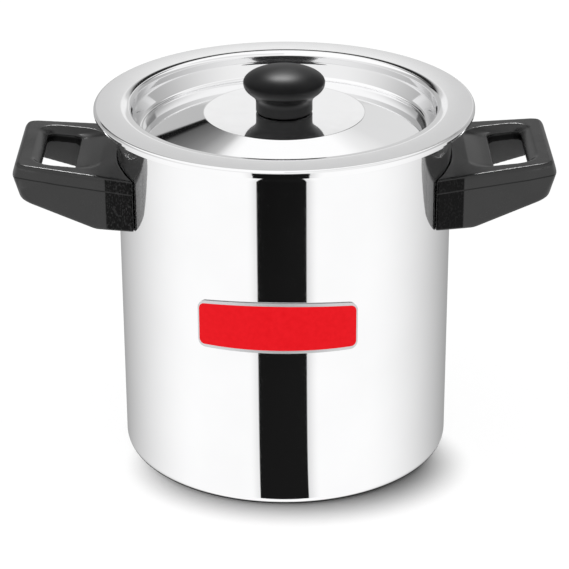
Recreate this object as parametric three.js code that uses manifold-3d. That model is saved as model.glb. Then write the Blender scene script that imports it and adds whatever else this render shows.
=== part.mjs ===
// Double-walled milk boiler: a mirror-polished pot with a hung milk vessel and a water jacket,
// a sunken lid with a knob, two side handles and a whistle on a filler neck at the back.
// Millimetres, +Z up. The origin is the centre of the base, the handles lie along X and the front is -Y.
import * as THREE from 'three';
import { mergeVertices, toCreasedNormals } from 'three/addons/utils/BufferGeometryUtils.js';
import Module from 'manifold-3d';

const wasm = await Module();
wasm.setup();

// Sheet metal, fits and facets
const SHEET = 0.8; // stainless sheet of the shell, the vessel and the lid
const FIT = 0.3; // clearance between pieces that seat on each other
const TURN_STEPS = 48; // facets round the pot and the lid
const SMALL_STEPS = 16; // facets round screws, discs and the neck
const ARCH_STEPS = 8; // facets of an arched edge
const ARC_STEP = THREE.MathUtils.degToRad(30); // facet of an arc in a profile
const CREASE = THREE.MathUtils.degToRad(30); // sharpest edge that is shaded smooth

// Pot
const HEIGHT = 155; // base to the top face of the lid ring
const BODY_R = 70.6; // outside of the outer shell
const BASE_CORNER_R = 4;
const RIM_OVERHANG = 9.4; // lid ring beyond the body
const RIM_FILLET_R = 5.4; // flare of the shell under its flange
const HEM_DROP = 2.5; // turned-down edge of the vessel's flange
const HEM_R = 1.1;
const JACKET = 5.8; // width of the water jacket round the vessel
const JACKET_DEPTH = 10; // height of the water under the vessel
const VESSEL_CORNER_R = 8;

// Lid
const LIP_DROP = 2; // turned-down edge of the lid ring
const LIP_R = 1.2;
const LIP_PLAY = 0.5; // lid lip outside the vessel's hem
const SHOULDER_R = 4.8; // rounding from the ring into the well
const WELL_DEPTH = 11.4;
const WELL_TAPER = THREE.MathUtils.degToRad(15);
const WELL_CORNER_R = 2;
const WELL_PLAY = 0.9; // well inside the vessel's wall
const PLATEAU_R = 34; // flat centre that carries the knob
const PLATEAU_DROP = 4.4; // flat centre below the ring
const PLATEAU_EDGE_R = 2.5;

// Knob and its screw
const KNOB_R = 17.2;
const KNOB_NECK_R = 11.9;
const KNOB_WIDEST = 12.7; // height of the widest circle above the knob's base
const KNOB_HEIGHT = 18.9;
const KNOB_NECK_TOP = 4; // height where the neck starts to spread
const INSERT_R = 4.2;
const INSERT_LENGTH = 9;
const KNOB_SCREW_R = 2;
const KNOB_HEAD_R = 4.2;
const KNOB_HEAD = 2.2;
const KNOB_WASHER_R = 6;
const WASHER = 0.8; // thickness of every washer

// Handles, measured outwards from the body and down from the handle's top at the body
const HANDLE_DROP = 21.8; // lid ring's top face to the handle's top
const HANDLE_REACH = 42.6;
const HANDLE_TILT = THREE.MathUtils.degToRad(6.1);
const HANDLE_ROOT_WIDTH = 65.8;
const HANDLE_END_WIDTH = 54.4;
const HANDLE_ROOT_HEIGHT = 23.9;
const HANDLE_END_HEIGHT = 15.6;
const KNEE_REACH = 8; // where the underside starts to climb
const KNEE_RISE = 0.8;
const KNEE_R = 10;
const NOSE_TOP_BACK = 1.8; // end face: top edge behind the nose
const NOSE_DROP = 6.1; // end face: nose below the top edge
const NOSE_LOW_BACK = 2.9; // end face: lower edge behind the nose
const NOSE_R = 3;
const NOSE_TOP_R = 2;
const HANDLE_CORNER_R = 4.9; // outer corners seen from above
const HANDLE_EDGE_R = 1.6; // moulded rounding of the long edges
const HANDLE_WALL = 3;
const HANDLE_SKIN = 6.8; // top wall above the finger hollow
const HOLLOW_R = 4; // upper corners of the finger hollow
const SLOT_NEAR = 16.4; // body to the finger slot
const SLOT_WIDTH = 14.6;
const SLOT_LENGTH = 39.8;
const SLOT_CORNER_R = 4;
const DISH_NEAR = 6; // body to the rim of the dish round the slot
const DISH_WIDTH = 29.4;
const DISH_LENGTH = 46;
const DISH_CORNER_R = 9;
const DISH_DEPTH = 2.4; // at the slot's edge
const DISH_SHARES = [1, 0.75, 0.5, 0.25, 0]; // levels of the dish, from its rim to the slot's edge

// Handle brackets and screws
const BRACKET = 2; // strap thickness
const BRACKET_WIDTH = 20;
const BRACKET_HEIGHT = 14;
const BRACKET_DROP = 10.6; // handle's top to the middle of the tongue
const TONGUE_LENGTH = 12.5;
const TONGUE_WIDTH = 14;
const TONGUE = 3;
const HANDLE_SCREW_REACH = 8;
const HANDLE_SCREW_R = 2;
const HANDLE_HEAD_R = 3.9;
const HANDLE_HEAD = 2.4;
const HANDLE_WASHER_R = 4.2;
const SCREW_WEB = 3.6; // moulded wall between the tongue and the screw's washer
const SCREW_END = 1.5; // screw tip above the tongue

// Front label
const LABEL_WIDTH = 67.5; // along the body's curve
const LABEL_HEIGHT = 20.5; // at its ends
const LABEL_TOP_ARCH = 2.4; // rise of its upper edge in the middle
const LABEL_FOOT_ARCH = 0.6; // rise of its lower edge in the middle
const LABEL_CORNER_R = 2.4;
const LABEL = 0.4; // thickness
const LABEL_DROP = 83.6; // lid ring's top face to the label's lower corners
const LABEL_TURN = THREE.MathUtils.degToRad(-2.75); // its middle, turned from straight ahead

// Filler neck and whistle, measured along the neck from the body
const NECK_DROP = 39; // lid ring's top face to where the neck's axis meets the body
const NECK_TILT = THREE.MathUtils.degToRad(45);
const NECK_R = 7.5;
const NECK_WALL = 0.8;
const NECK_INSIDE = 1; // neck past the shell's inner face
const CAP_R = 10.8;
const CAP_WALL = 1.6;
const CAP_TOP = 2;
const CAP_EDGE_R = 1.5;
const CAP_STANDOFF = 1; // cap clear of the body
const CAP_GRIP = 8; // neck inside the cap
const WHISTLE_GAP = 3; // between the two discs
const WHISTLE_HOLE_R = 1.2;
const STEAM_HOLE_R = 2.6;
const DISC = 0.6;

// Heights and radii that follow from the sizes above
const ringR = BODY_R + RIM_OVERHANG;
const hemR = ringR - SHEET - LIP_PLAY;
const shellFlangeR = hemR - SHEET - FIT;
const vesselTopZ = HEIGHT - SHEET - FIT;
const shellFlangeZ = vesselTopZ - SHEET - FIT - SHEET;
const vesselR = BODY_R - SHEET - JACKET - SHEET;
const vesselFloorZ = SHEET + JACKET_DEPTH + SHEET;
const wellR = vesselR - WELL_PLAY - SHEET;
const wellTopR = wellR + WELL_DEPTH * Math.tan(WELL_TAPER);
const seatStep = SHEET + FIT;
const mouthR = wellTopR - seatStep * Math.tan(WELL_TAPER) + seatStep / Math.cos(WELL_TAPER);
const mouthBottomZ = vesselTopZ - (mouthR - vesselR) / Math.tan(WELL_TAPER);
const plateauZ = HEIGHT - PLATEAU_DROP;
const handleZ = HEIGHT - HANDLE_DROP;
const tongueZ = handleZ - BRACKET_DROP;
const labelZ = HEIGHT - LABEL_DROP;
const neckZ = HEIGHT - NECK_DROP;
const capStart = (CAP_R * Math.cos(NECK_TILT) + CAP_STANDOFF) / Math.sin(NECK_TILT);
const neckMouth = capStart + CAP_GRIP;
const capBoreR = CAP_R - CAP_WALL;
const neckFrame = new THREE.Matrix4().makeRotationX(-NECK_TILT).setPosition(0, BODY_R, neckZ);

// Finishes
const mirrorSteel = () => new THREE.MeshStandardMaterial({ color: 0xd9dadb, roughness: 0.08, metalness: 1 });
const plainSteel = () => new THREE.MeshStandardMaterial({ color: 0xa9abad, roughness: 0.35, metalness: 1 });
const bakelite = () => new THREE.MeshStandardMaterial({ color: 0x1b1b1c, roughness: 0.42, metalness: 0 });
const brass = () => new THREE.MeshStandardMaterial({ color: 0xb08d45, roughness: 0.35, metalness: 1 });
const silicone = () => new THREE.MeshStandardMaterial({ color: 0xb9b4aa, roughness: 0.7, metalness: 0 });
const redPlate = () => new THREE.MeshStandardMaterial({ color: 0xed1c24, roughness: 0.4, metalness: 0 });

// The points of the arc of that radius that rounds a corner. A short leg limits the radius.
function cornerArc(before, corner, after) {
  const here = new THREE.Vector2(corner[0], corner[1]);
  const back = new THREE.Vector2(before[0], before[1]).sub(here);
  const ahead = new THREE.Vector2(after[0], after[1]).sub(here);
  const half = back.angleTo(ahead) / 2;
  const room = (leg, other) => leg.length() * (other[2] ? 0.5 : 0.98);
  const reach = Math.min(corner[2] / Math.tan(half), room(back, before), room(ahead, after));
  const radius = reach * Math.tan(half);
  back.normalize();
  ahead.normalize();
  const bisector = back.clone().add(ahead).normalize();
  const centre = here.clone().addScaledVector(bisector, radius / Math.sin(half));
  const start = here.clone().addScaledVector(back, reach).sub(centre);
  const end = here.clone().addScaledVector(ahead, reach).sub(centre);
  const sweep = Math.atan2(start.cross(end), start.dot(end));
  const steps = Math.max(2, Math.ceil(Math.abs(sweep) / ARC_STEP));
  return Array.from({ length: steps + 1 }, (_, k) =>
    start.clone().rotateAround(new THREE.Vector2(), (sweep * k) / steps).add(centre));
}

// A path through corners [x, y, radius], rounded where a radius is given.
function roundedPath(corners, closed = false) {
  return corners.flatMap((corner, i) => {
    const isEnd = !closed && (i === 0 || i === corners.length - 1);
    if (isEnd || !corner[2]) return [new THREE.Vector2(corner[0], corner[1])];
    return cornerArc(corners.at(i - 1), corner, corners[(i + 1) % corners.length]);
  });
}

// A closed rectangle with rounded corners, about the origin.
function roundedRectangle(width, height, radius) {
  const [x, y] = [width / 2, height / 2];
  return roundedPath([[-x, -y, radius], [x, -y, radius], [x, y, radius], [-x, y, radius]], true);
}

// The path moved sideways, to its left for a positive distance.
function offsetPath(path, distance, closed = false) {
  const left = (from, to) => new THREE.Vector2(from.y - to.y, to.x - from.x).normalize();
  return path.map((point, i) => {
    const before = path[i - 1] ?? (closed ? path.at(-1) : null);
    const after = path[i + 1] ?? (closed ? path[0] : null);
    const first = left(before ?? point, before ? point : after);
    const second = left(after ? point : before, after ?? point);
    const mitre = first.clone().add(second).normalize();
    return point.clone().addScaledVector(mitre, distance / mitre.dot(first));
  });
}

// The outline of a sheet that lies to the left of a path, or to its right for a negative thickness.
function sheetOutline(path, thickness) {
  return [...path, ...offsetPath(path, thickness).reverse(), path[0].clone()];
}

// A path with points added so that no step is longer than a limit.
function subdivided(path, limit) {
  return path.flatMap((point, i) => {
    const next = path[(i + 1) % path.length];
    const pieces = Math.ceil(point.distanceTo(next) / limit);
    return Array.from({ length: pieces }, (_, k) => point.clone().lerp(next, k / pieces));
  });
}

// A geometry with shared vertices, no collapsed triangles and its faces pointing out.
function welded(geometry) {
  geometry.deleteAttribute('normal');
  geometry.deleteAttribute('uv');
  const merged = mergeVertices(geometry, 1e-4);
  const corner = [new THREE.Vector3(), new THREE.Vector3(), new THREE.Vector3()];
  const kept = [];
  let volume = 0;
  for (let i = 0; i < merged.index.count; i += 3) {
    const [a, b, c] = [0, 1, 2].map((k) => merged.index.getX(i + k));
    if (a === b || b === c || c === a) continue;
    [a, b, c].forEach((index, k) => corner[k].fromBufferAttribute(merged.attributes.position, index));
    volume += corner[0].dot(corner[1].clone().cross(corner[2]));
    kept.push(a, b, c);
  }
  if (volume < 0) kept.reverse();
  merged.setIndex(kept);
  return merged;
}

// Between a welded geometry and a solid that can be cut and joined
function solidOf(geometry) {
  const vertProperties = new Float32Array(geometry.attributes.position.array);
  const triVerts = new Uint32Array(geometry.index.array);
  return new wasm.Manifold(new wasm.Mesh({ numProp: 3, vertProperties, triVerts }));
}

function geometryOf(solid) {
  const mesh = solid.getMesh();
  const geometry = new THREE.BufferGeometry();
  geometry.setAttribute('position', new THREE.BufferAttribute(mesh.vertProperties, 3));
  geometry.setIndex(new THREE.BufferAttribute(mesh.triVerts, 1));
  return geometry;
}

// Solids of the basic forms
function turned(outline, steps) {
  return solidOf(welded(new THREE.LatheGeometry(outline, steps).rotateX(Math.PI / 2)));
}

function rod(radius, from, to, steps = SMALL_STEPS) {
  const outline = [[0, from], [radius, from], [radius, to], [0, to]];
  return turned(outline.map(([r, z]) => new THREE.Vector2(r, z)), steps);
}

function ring(inner, outer, from, to, steps = SMALL_STEPS) {
  const outline = [[inner, from], [outer, from], [outer, to], [inner, to], [inner, from]];
  return turned(outline.map(([r, z]) => new THREE.Vector2(r, z)), steps);
}

function block(from, to) {
  const size = to.map((value, i) => value - from[i]);
  const box = new THREE.BoxGeometry(...size);
  return solidOf(welded(box.translate(...from.map((value, i) => value + size[i] / 2))));
}

// A solid through rings of points, each ring with as many points, closed by a fan at both ends.
function loft(rings) {
  const count = rings[0].length;
  const index = [];
  rings.slice(1).forEach((_, k) => {
    for (let i = 0; i < count; i += 1) {
      const [a, b] = [k * count + i, k * count + ((i + 1) % count)];
      index.push(a, b, b + count, a, b + count, a + count);
    }
  });
  const last = (rings.length - 1) * count;
  const flat = rings.map((points) => THREE.ShapeUtils.triangulateShape(points.map((p) => p.flat), []));
  flat[0].forEach(([a, b, c]) => index.push(a, c, b));
  flat.at(-1).forEach(([a, b, c]) => index.push(last + a, last + b, last + c));
  const geometry = new THREE.BufferGeometry().setFromPoints(rings.flat().map((p) => p.point));
  return solidOf(welded(geometry.setIndex(index)));
}

// Pot: the outer shell flares into a flange, and the vessel hangs from its own hemmed flange on it.
function outerShell() {
  const path = roundedPath([
    [0, 0],
    [BODY_R, 0, BASE_CORNER_R],
    [BODY_R, shellFlangeZ, RIM_FILLET_R],
    [shellFlangeR, shellFlangeZ],
  ]);
  const neckHole = rod(NECK_R + FIT, -neckMouth, neckMouth).transform(neckFrame.elements);
  return turned(sheetOutline(path, SHEET), TURN_STEPS).subtract(neckHole);
}

function innerVessel() {
  const path = roundedPath([
    [0, vesselFloorZ],
    [vesselR, vesselFloorZ, VESSEL_CORNER_R],
    [vesselR, mouthBottomZ],
    [mouthR, vesselTopZ, SHOULDER_R - seatStep],
    [hemR, vesselTopZ, HEM_R],
    [hemR, vesselTopZ - HEM_DROP],
  ]);
  return turned(sheetOutline(path, -SHEET), TURN_STEPS);
}

// The label's outline, with arched upper and lower edges and rounded corners.
function labelOutline(width) {
  const [x, low, high] = [width / 2, labelZ, labelZ + LABEL_HEIGHT];
  const arch = (z, lift) => {
    const middle = new THREE.Vector2(0, z + 2 * lift);
    const edge = new THREE.QuadraticBezierCurve(new THREE.Vector2(-x, z), middle, new THREE.Vector2(x, z));
    return edge.getPoints(ARCH_STEPS).slice(1, -1).map((point) => point.toArray());
  };
  const r = LABEL_CORNER_R;
  const foot = [[-x, low, r], ...arch(low, LABEL_FOOT_ARCH), [x, low, r]];
  return roundedPath([...foot, [x, high, r], ...arch(high, LABEL_TOP_ARCH).reverse(), [-x, high, r]], true);
}

function frontLabel() {
  const stickOut = BODY_R + FIT;
  const band = ring(stickOut, stickOut + LABEL, 0, HEIGHT, TURN_STEPS);
  const outline = labelOutline(2 * stickOut * Math.sin(LABEL_WIDTH / stickOut / 2));
  const plate = new THREE.ExtrudeGeometry(new THREE.Shape(outline), { depth: ringR, bevelEnabled: false });
  plate.rotateX(Math.PI / 2).rotateZ(LABEL_TURN);
  return band.intersect(solidOf(welded(plate)));
}

// Lid: one stamping, from the knob's hole out to the turned-down lip.
function lidPan() {
  const path = roundedPath([
    [KNOB_SCREW_R + FIT, plateauZ],
    [PLATEAU_R, plateauZ, PLATEAU_EDGE_R],
    [wellR, HEIGHT - WELL_DEPTH, WELL_CORNER_R],
    [wellTopR, HEIGHT, SHOULDER_R],
    [ringR, HEIGHT, LIP_R],
    [ringR, HEIGHT - LIP_DROP],
  ]);
  return turned(sheetOutline(path, -SHEET), TURN_STEPS);
}

// Knob pieces, with the knob's base at height 0
function knob() {
  const spread = new THREE.CubicBezierCurve(
    new THREE.Vector2(KNOB_NECK_R, KNOB_NECK_TOP),
    new THREE.Vector2(KNOB_NECK_R, (KNOB_NECK_TOP + KNOB_WIDEST) / 2),
    new THREE.Vector2(KNOB_R, (KNOB_NECK_TOP + KNOB_WIDEST) / 2),
    new THREE.Vector2(KNOB_R, KNOB_WIDEST),
  );
  const dome = new THREE.EllipseCurve(0, KNOB_WIDEST, KNOB_R, KNOB_HEIGHT - KNOB_WIDEST, 0, Math.PI / 2);
  const outline = [
    new THREE.Vector2(0, INSERT_LENGTH + FIT),
    new THREE.Vector2(INSERT_R + FIT, INSERT_LENGTH + FIT),
    new THREE.Vector2(INSERT_R + FIT, 0),
    new THREE.Vector2(KNOB_NECK_R, 0),
    ...spread.getPoints(7),
    ...dome.getPoints(6).slice(1, -1),
    new THREE.Vector2(0, KNOB_HEIGHT),
  ];
  return turned(outline, TURN_STEPS / 2);
}

// A pan-head screw on its axis, its head under a seat at height 0.
function panScrew(shankR, headR, head, length) {
  const dome = [[0, -head], [headR, -head, head / 2], [headR, 0]];
  const shank = [[shankR, 0], [shankR, length], [0, length]];
  return turned(roundedPath([...dome, ...shank]), SMALL_STEPS);
}

// Right handle: the side profile is swept across the width, which narrows outwards.
const rise = (reach) => reach * Math.tan(HANDLE_TILT);
const halfWidth = (reach) =>
  THREE.MathUtils.lerp(HANDLE_ROOT_WIDTH, HANDLE_END_WIDTH, reach / HANDLE_REACH) / 2;
const noseTop = [HANDLE_REACH - NOSE_TOP_BACK, rise(HANDLE_REACH - NOSE_TOP_BACK)];
const nose = [HANDLE_REACH, noseTop[1] - NOSE_DROP];
const noseLow = [HANDLE_REACH - NOSE_LOW_BACK, noseTop[1] - HANDLE_END_HEIGHT];

// How far the handle reaches at a height, so that its end corners can be rounded.
function reachAt(height) {
  const [from, to] = height > nose[1] ? [nose, noseTop] : [nose, noseLow];
  return THREE.MathUtils.mapLinear(height, from[1], to[1], from[0], to[0]);
}

function cornerLoss(reach, height) {
  const inside = Math.max(0, HANDLE_CORNER_R - Math.max(0, reachAt(height) - reach));
  return HANDLE_CORNER_R - Math.sqrt(HANDLE_CORNER_R ** 2 - inside ** 2);
}

// A ring of the sweep: the profile's points at one side, a given depth in from the side face.
function sideRing(profile, side, inset, loss) {
  return profile.map((p) => ({
    flat: p,
    point: new THREE.Vector3(BODY_R + p.x, side * (halfWidth(p.x) - inset - loss(p)), handleZ + p.y),
  }));
}

function handleBlank() {
  const root = -HANDLE_ROOT_WIDTH / 4;
  const corners = [
    [root, rise(root)],
    [root, -HANDLE_ROOT_HEIGHT],
    [KNEE_REACH, KNEE_RISE - HANDLE_ROOT_HEIGHT, KNEE_R],
    [...noseLow, NOSE_R],
    [...nose, NOSE_R],
    [...noseTop, NOSE_TOP_R],
  ];
  const profile = subdivided(roundedPath(corners, true), 4);
  const side = (sign) => [0, 0.5, 1].map((share) => {
    const angle = (share * Math.PI) / 2;
    const shrunk = offsetPath(profile, HANDLE_EDGE_R * (1 - Math.cos(angle)), true);
    const inset = HANDLE_EDGE_R * (1 - Math.sin(angle));
    return sideRing(shrunk, sign, inset, (p) => cornerLoss(p.x, p.y));
  });
  return loft([...side(1).reverse(), ...side(-1)]);
}

// The hollow under the handle's top wall, open below
function fingerHollow() {
  const near = SLOT_NEAR - FIT;
  const far = noseTop[0] - HANDLE_WALL;
  const farLow = noseLow[0] - HANDLE_WALL;
  const below = -HANDLE_ROOT_HEIGHT;
  const profile = roundedPath([
    [near, below],
    [farLow, below],
    [farLow, noseLow[1]],
    [far, rise(far) - HANDLE_SKIN, HOLLOW_R],
    [near, rise(near) - HANDLE_SKIN, HOLLOW_R],
  ], true);
  const ends = [1, -1].map((sign) => sideRing(profile, sign, HANDLE_WALL, () => 0));
  return loft(ends);
}

// The slot through the top wall and the dish round it, which deepens from its rim to the slot's edge.
function fingerSlot() {
  const slot = roundedRectangle(SLOT_WIDTH, SLOT_LENGTH, SLOT_CORNER_R);
  const offset = DISH_NEAR + DISH_WIDTH / 2 - SLOT_NEAR - SLOT_WIDTH / 2;
  const rim = roundedRectangle(DISH_WIDTH, DISH_LENGTH, DISH_CORNER_R);
  rim.forEach((p) => p.setX(p.x + offset));
  const level = (share, height) => slot.map((p, i) => {
    const flat = p.clone().lerp(rim[i], share);
    return { flat, point: new THREE.Vector3(flat.x, flat.y, height) };
  });
  const rings = [
    level(1, DISH_DEPTH),
    ...DISH_SHARES.map((share) => level(share, DISH_DEPTH * (share ** 2 - 1))),
    level(0, -HANDLE_SKIN - HOLLOW_R),
  ];
  const middle = SLOT_NEAR + SLOT_WIDTH / 2;
  const place = new THREE.Matrix4().makeRotationY(-HANDLE_TILT);
  place.setPosition(BODY_R + middle, 0, handleZ + rise(middle));
  return loft(rings).transform(place.elements);
}

// A strap that follows the shell, with a tongue into the handle. Grown by a gap, it is the handle's pocket.
function bracketForm(grow) {
  const face = BODY_R + FIT;
  const [w, h] = [BRACKET_WIDTH / 2 + grow, BRACKET_HEIGHT / 2 + grow];
  const band = ring(face - grow, face + BRACKET + grow, tongueZ - h, tongueZ + h, TURN_STEPS);
  const strap = band.intersect(block([0, -w, tongueZ - h], [BODY_R * 2, w, tongueZ + h]));
  const [tw, th] = [TONGUE_WIDTH / 2 + grow, TONGUE / 2 + grow];
  const end = BODY_R + TONGUE_LENGTH + grow;
  return strap.add(block([face + BRACKET / 2, -tw, tongueZ - th], [end, tw, tongueZ + th]));
}

const screwX = BODY_R + HANDLE_SCREW_REACH;
const screwSeatZ = tongueZ - TONGUE / 2 - FIT - SCREW_WEB;
const screwTopZ = tongueZ + TONGUE / 2 + SCREW_END;

function handle() {
  const shell = rod(BODY_R + FIT, 0, HEIGHT, TURN_STEPS);
  const hole = rod(HANDLE_SCREW_R + FIT, 0, screwTopZ + FIT).translate(screwX, 0, 0);
  const headRoom = rod(HANDLE_WASHER_R + FIT, 0, screwSeatZ).translate(screwX, 0, 0);
  return [shell, fingerHollow(), fingerSlot(), bracketForm(FIT), hole, headRoom]
    .reduce((body, tool) => body.subtract(tool), handleBlank());
}

function handleBracket() {
  return bracketForm(0).subtract(rod(HANDLE_SCREW_R + FIT, 0, HEIGHT).translate(screwX, 0, 0));
}

// Filler neck, cut off just inside the shell
function fillerNeck() {
  const tube = ring(NECK_R - NECK_WALL, NECK_R, -neckMouth, neckMouth).transform(neckFrame.elements);
  return tube.subtract(rod(BODY_R - SHEET - NECK_INSIDE, 0, HEIGHT, TURN_STEPS));
}

// Whistle pieces, on the neck's axis
const lowerDisc = neckMouth + FIT;
const upperDisc = lowerDisc + DISC + WHISTLE_GAP;
const capRoof = upperDisc + DISC + FIT;

function whistleUpperDisc() {
  const [rim, skirt] = [capBoreR - FIT, lowerDisc + DISC + FIT];
  const path = roundedPath([
    [WHISTLE_HOLE_R, upperDisc + DISC],
    [rim, upperDisc + DISC, 2 * DISC],
    [rim, skirt],
  ]);
  return turned(sheetOutline(path, -DISC), SMALL_STEPS);
}

function whistleCap() {
  const top = capRoof + CAP_TOP;
  const outline = roundedPath([
    [capBoreR, capStart],
    [CAP_R, capStart],
    [CAP_R, top, CAP_EDGE_R],
    [STEAM_HOLE_R, top],
    [STEAM_HOLE_R, capRoof],
    [capBoreR, capRoof],
    [capBoreR, capStart],
  ]);
  return turned(outline, SMALL_STEPS);
}

// Assembly
function piece(name, solid, material) {
  const mesh = new THREE.Mesh(toCreasedNormals(geometryOf(solid), CREASE), material);
  mesh.name = name;
  return mesh;
}

function handleSet(side, turn) {
  const set = new THREE.Group();
  const washer = ring(HANDLE_SCREW_R + FIT, HANDLE_WASHER_R, -WASHER, 0);
  const reach = screwTopZ - screwSeatZ + 2 * FIT + WASHER;
  const screw = panScrew(HANDLE_SCREW_R, HANDLE_HEAD_R, HANDLE_HEAD, reach);
  set.add(
    piece(`${side}_handle`, handle(), bakelite()),
    piece(`${side}_handle_bracket`, handleBracket(), plainSteel()),
    piece(`${side}_handle_washer`, washer.translate(screwX, 0, screwSeatZ - FIT), plainSteel()),
    piece(`${side}_handle_screw`, screw.translate(screwX, 0, screwSeatZ - 2 * FIT - WASHER), plainSteel()),
  );
  set.rotation.z = turn;
  return set;
}

function lidSet() {
  const set = new THREE.Group();
  const base = PLATEAU_DROP - FIT;
  const seat = PLATEAU_DROP + SHEET + FIT;
  const reach = 2 * FIT + WASHER + SHEET + INSERT_LENGTH;
  const screw = panScrew(KNOB_SCREW_R, KNOB_HEAD_R, KNOB_HEAD, reach);
  const washer = ring(KNOB_SCREW_R + FIT, KNOB_WASHER_R, -WASHER, 0);
  const insert = ring(KNOB_SCREW_R + FIT, INSERT_R, 0, INSERT_LENGTH);
  set.add(
    piece('lid_pan', lidPan(), mirrorSteel()),
    piece('knob', knob().translate(0, 0, HEIGHT - base), bakelite()),
    piece('knob_insert', insert.translate(0, 0, HEIGHT - base), brass()),
    piece('knob_washer', washer.translate(0, 0, HEIGHT - seat), plainSteel()),
    piece('knob_screw', screw.translate(0, 0, HEIGHT - seat - WASHER - FIT), plainSteel()),
  );
  return set;
}

function whistleSet() {
  const set = new THREE.Group();
  const seal = ring(NECK_R + FIT, capBoreR - FIT, capStart + FIT, neckMouth);
  const disc = ring(WHISTLE_HOLE_R, capBoreR - FIT, lowerDisc, lowerDisc + DISC);
  set.add(
    piece('whistle_cap', whistleCap(), bakelite()),
    piece('whistle_seal', seal, silicone()),
    piece('whistle_disc_lower', disc, plainSteel()),
    piece('whistle_disc_upper', whistleUpperDisc(), plainSteel()),
  );
  set.rotation.x = -NECK_TILT;
  set.position.set(0, BODY_R, neckZ);
  return set;
}

const boiler = new THREE.Group();
boiler.add(
  piece('outer_shell', outerShell(), mirrorSteel()),
  piece('inner_vessel', innerVessel(), mirrorSteel()),
  piece('filler_neck', fillerNeck(), plainSteel()),
  piece('front_label', frontLabel(), redPlate()),
  handleSet('right', 0),
  handleSet('left', Math.PI),
  lidSet(),
  whistleSet(),
);

export default boiler;
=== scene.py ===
"""Looks of the milk boiler: steel pot, vessel and lid, black moulded handles and knob, plain red label."""
import math

import bmesh
import bpy
from mathutils import Matrix, Vector


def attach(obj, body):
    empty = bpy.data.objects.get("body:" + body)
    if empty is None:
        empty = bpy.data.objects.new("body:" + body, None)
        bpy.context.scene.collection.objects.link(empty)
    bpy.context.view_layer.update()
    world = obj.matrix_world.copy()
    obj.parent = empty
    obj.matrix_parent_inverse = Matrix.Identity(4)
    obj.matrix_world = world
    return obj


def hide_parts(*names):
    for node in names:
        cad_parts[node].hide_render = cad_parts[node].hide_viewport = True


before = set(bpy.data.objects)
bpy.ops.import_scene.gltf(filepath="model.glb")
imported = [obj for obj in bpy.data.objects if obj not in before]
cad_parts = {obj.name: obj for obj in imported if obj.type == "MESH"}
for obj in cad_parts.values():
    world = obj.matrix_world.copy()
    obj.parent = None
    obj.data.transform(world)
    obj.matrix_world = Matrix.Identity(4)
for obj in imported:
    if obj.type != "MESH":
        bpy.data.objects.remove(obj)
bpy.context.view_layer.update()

MM = 0.001

# Sizes in millimetres: those of the solids, with finer forms for the lid's well, the handles and the label
SHEET, FIT = 0.8, 0.3
HEIGHT, BODY_R, RING_R = 155.0, 70.6, 80.0
BASE_CORNER_R, RIM_FILLET_R, HEM_R, HEM_DEPTH, LIP_R, LIP_DEPTH = 4.0, 5.4, 1.1, 2.5, 1.2, 2
HEM_OUT_R, SHELL_FLANGE_R = 78.7, 77.6
VESSEL_TOP, SHELL_FLANGE = 153.9, 152.0
VESSEL_R, VESSEL_FLOOR, VESSEL_CORNER_R = 63.2, 11.6, 8.0
WELL_R, WELL_DEPTH, WELL_CORNER_R, SHOULDER_R = 61.0, 11.4, 2.0, 2.8
EASE_WIDTH, EASE_TURN, EASE_R = 3.2, math.radians(8), 16.0
WELL_LOW_TAPER, WELL_TOP_TAPER, WELL_BEND, WELL_BEND_R = math.radians(24), math.radians(7), 4.9, 6.0
WELL_BEND_AT = WELL_R + (WELL_DEPTH - WELL_BEND) * math.tan(WELL_LOW_TAPER)
WELL_TOP_R = WELL_BEND_AT + WELL_BEND * math.tan(WELL_TOP_TAPER)
EASE_DROP = EASE_WIDTH * math.tan(EASE_TURN) / (1 - math.tan(EASE_TURN) * math.tan(WELL_TOP_TAPER))
SEAT = SHEET + FIT
PLATEAU_R, PLATEAU_Z, PLATEAU_EDGE_R, LID_HOLE_R = 34.0, 150.6, 2.5, 2.3
KNOB_BASE, KNOB_R, KNOB_NECK_R, KNOB_WIDEST, KNOB_HEIGHT, KNOB_NECK_TOP = 150.9, 17.2, 11.9, 12.7, 18.9, 4.0
KNOB_BORE_R, KNOB_BORE_DEPTH, KNOB_FOOT_R, KNOB_BEVEL = 4.5, 9.3, 11.3, 0.6
HANDLE_Z, HANDLE_REACH, HANDLE_TILT = HEIGHT - 21.8, 42.6, math.radians(6.1)
HANDLE_ROOT_WIDTH, HANDLE_END_WIDTH, HANDLE_ROOT_HEIGHT, HANDLE_END_HEIGHT = 65.8, 54.4, 23.9, 15.6
HANDLE_CORNER_R, HANDLE_EDGE_R = 4.9, 1.6
HANDLE_WALL, HANDLE_LOW_WALL, HANDLE_SKIN, HOLLOW_R = 3.0, 1.5, 6.8, 4.0
KNEE_REACH, KNEE_RISE, KNEE_R, NOSE_R, NOSE_TOP_R = 8.0, 0.8, 10.0, 3.0, 2.0
NOSE_TOP_BACK, NOSE_DROP, NOSE_LOW_BACK = 1.8, 6.1, 2.9
SLOT_NEAR, SLOT_WIDTH, SLOT_LENGTH, SLOT_FAR_LENGTH, SLOT_CORNER_R = 16.4, 14.6, 40.4, 41.8, 4.0
DISH_NEAR, DISH_WIDTH, DISH_LENGTH, DISH_FAR_LENGTH, DISH_CORNER_R = 6.0, 29.4, 46.4, 47.6, 9.0
DISH_DEPTH, DISH_FALL = 2.4, 0.8
COLLAR, PARTING = 3.4, 6.0
SCREW_OUT, HEAD_ROOM_R, HEAD_ROOM_TOP = 8, 4.5, 117.2
NECK_R, NECK_WALL, NECK_BEVEL, NECK_INSIDE = 7.5, 0.8, 0.3, 3
NECK_Z, NECK_TILT = HEIGHT - 39, math.radians(45)
CAP_R, CAP_BORE_R, CAP_ROOF, CAP_HOLE_R, CAP_CLEAR = 10.8, 9.2, 1.9, 2.6, 1
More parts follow.
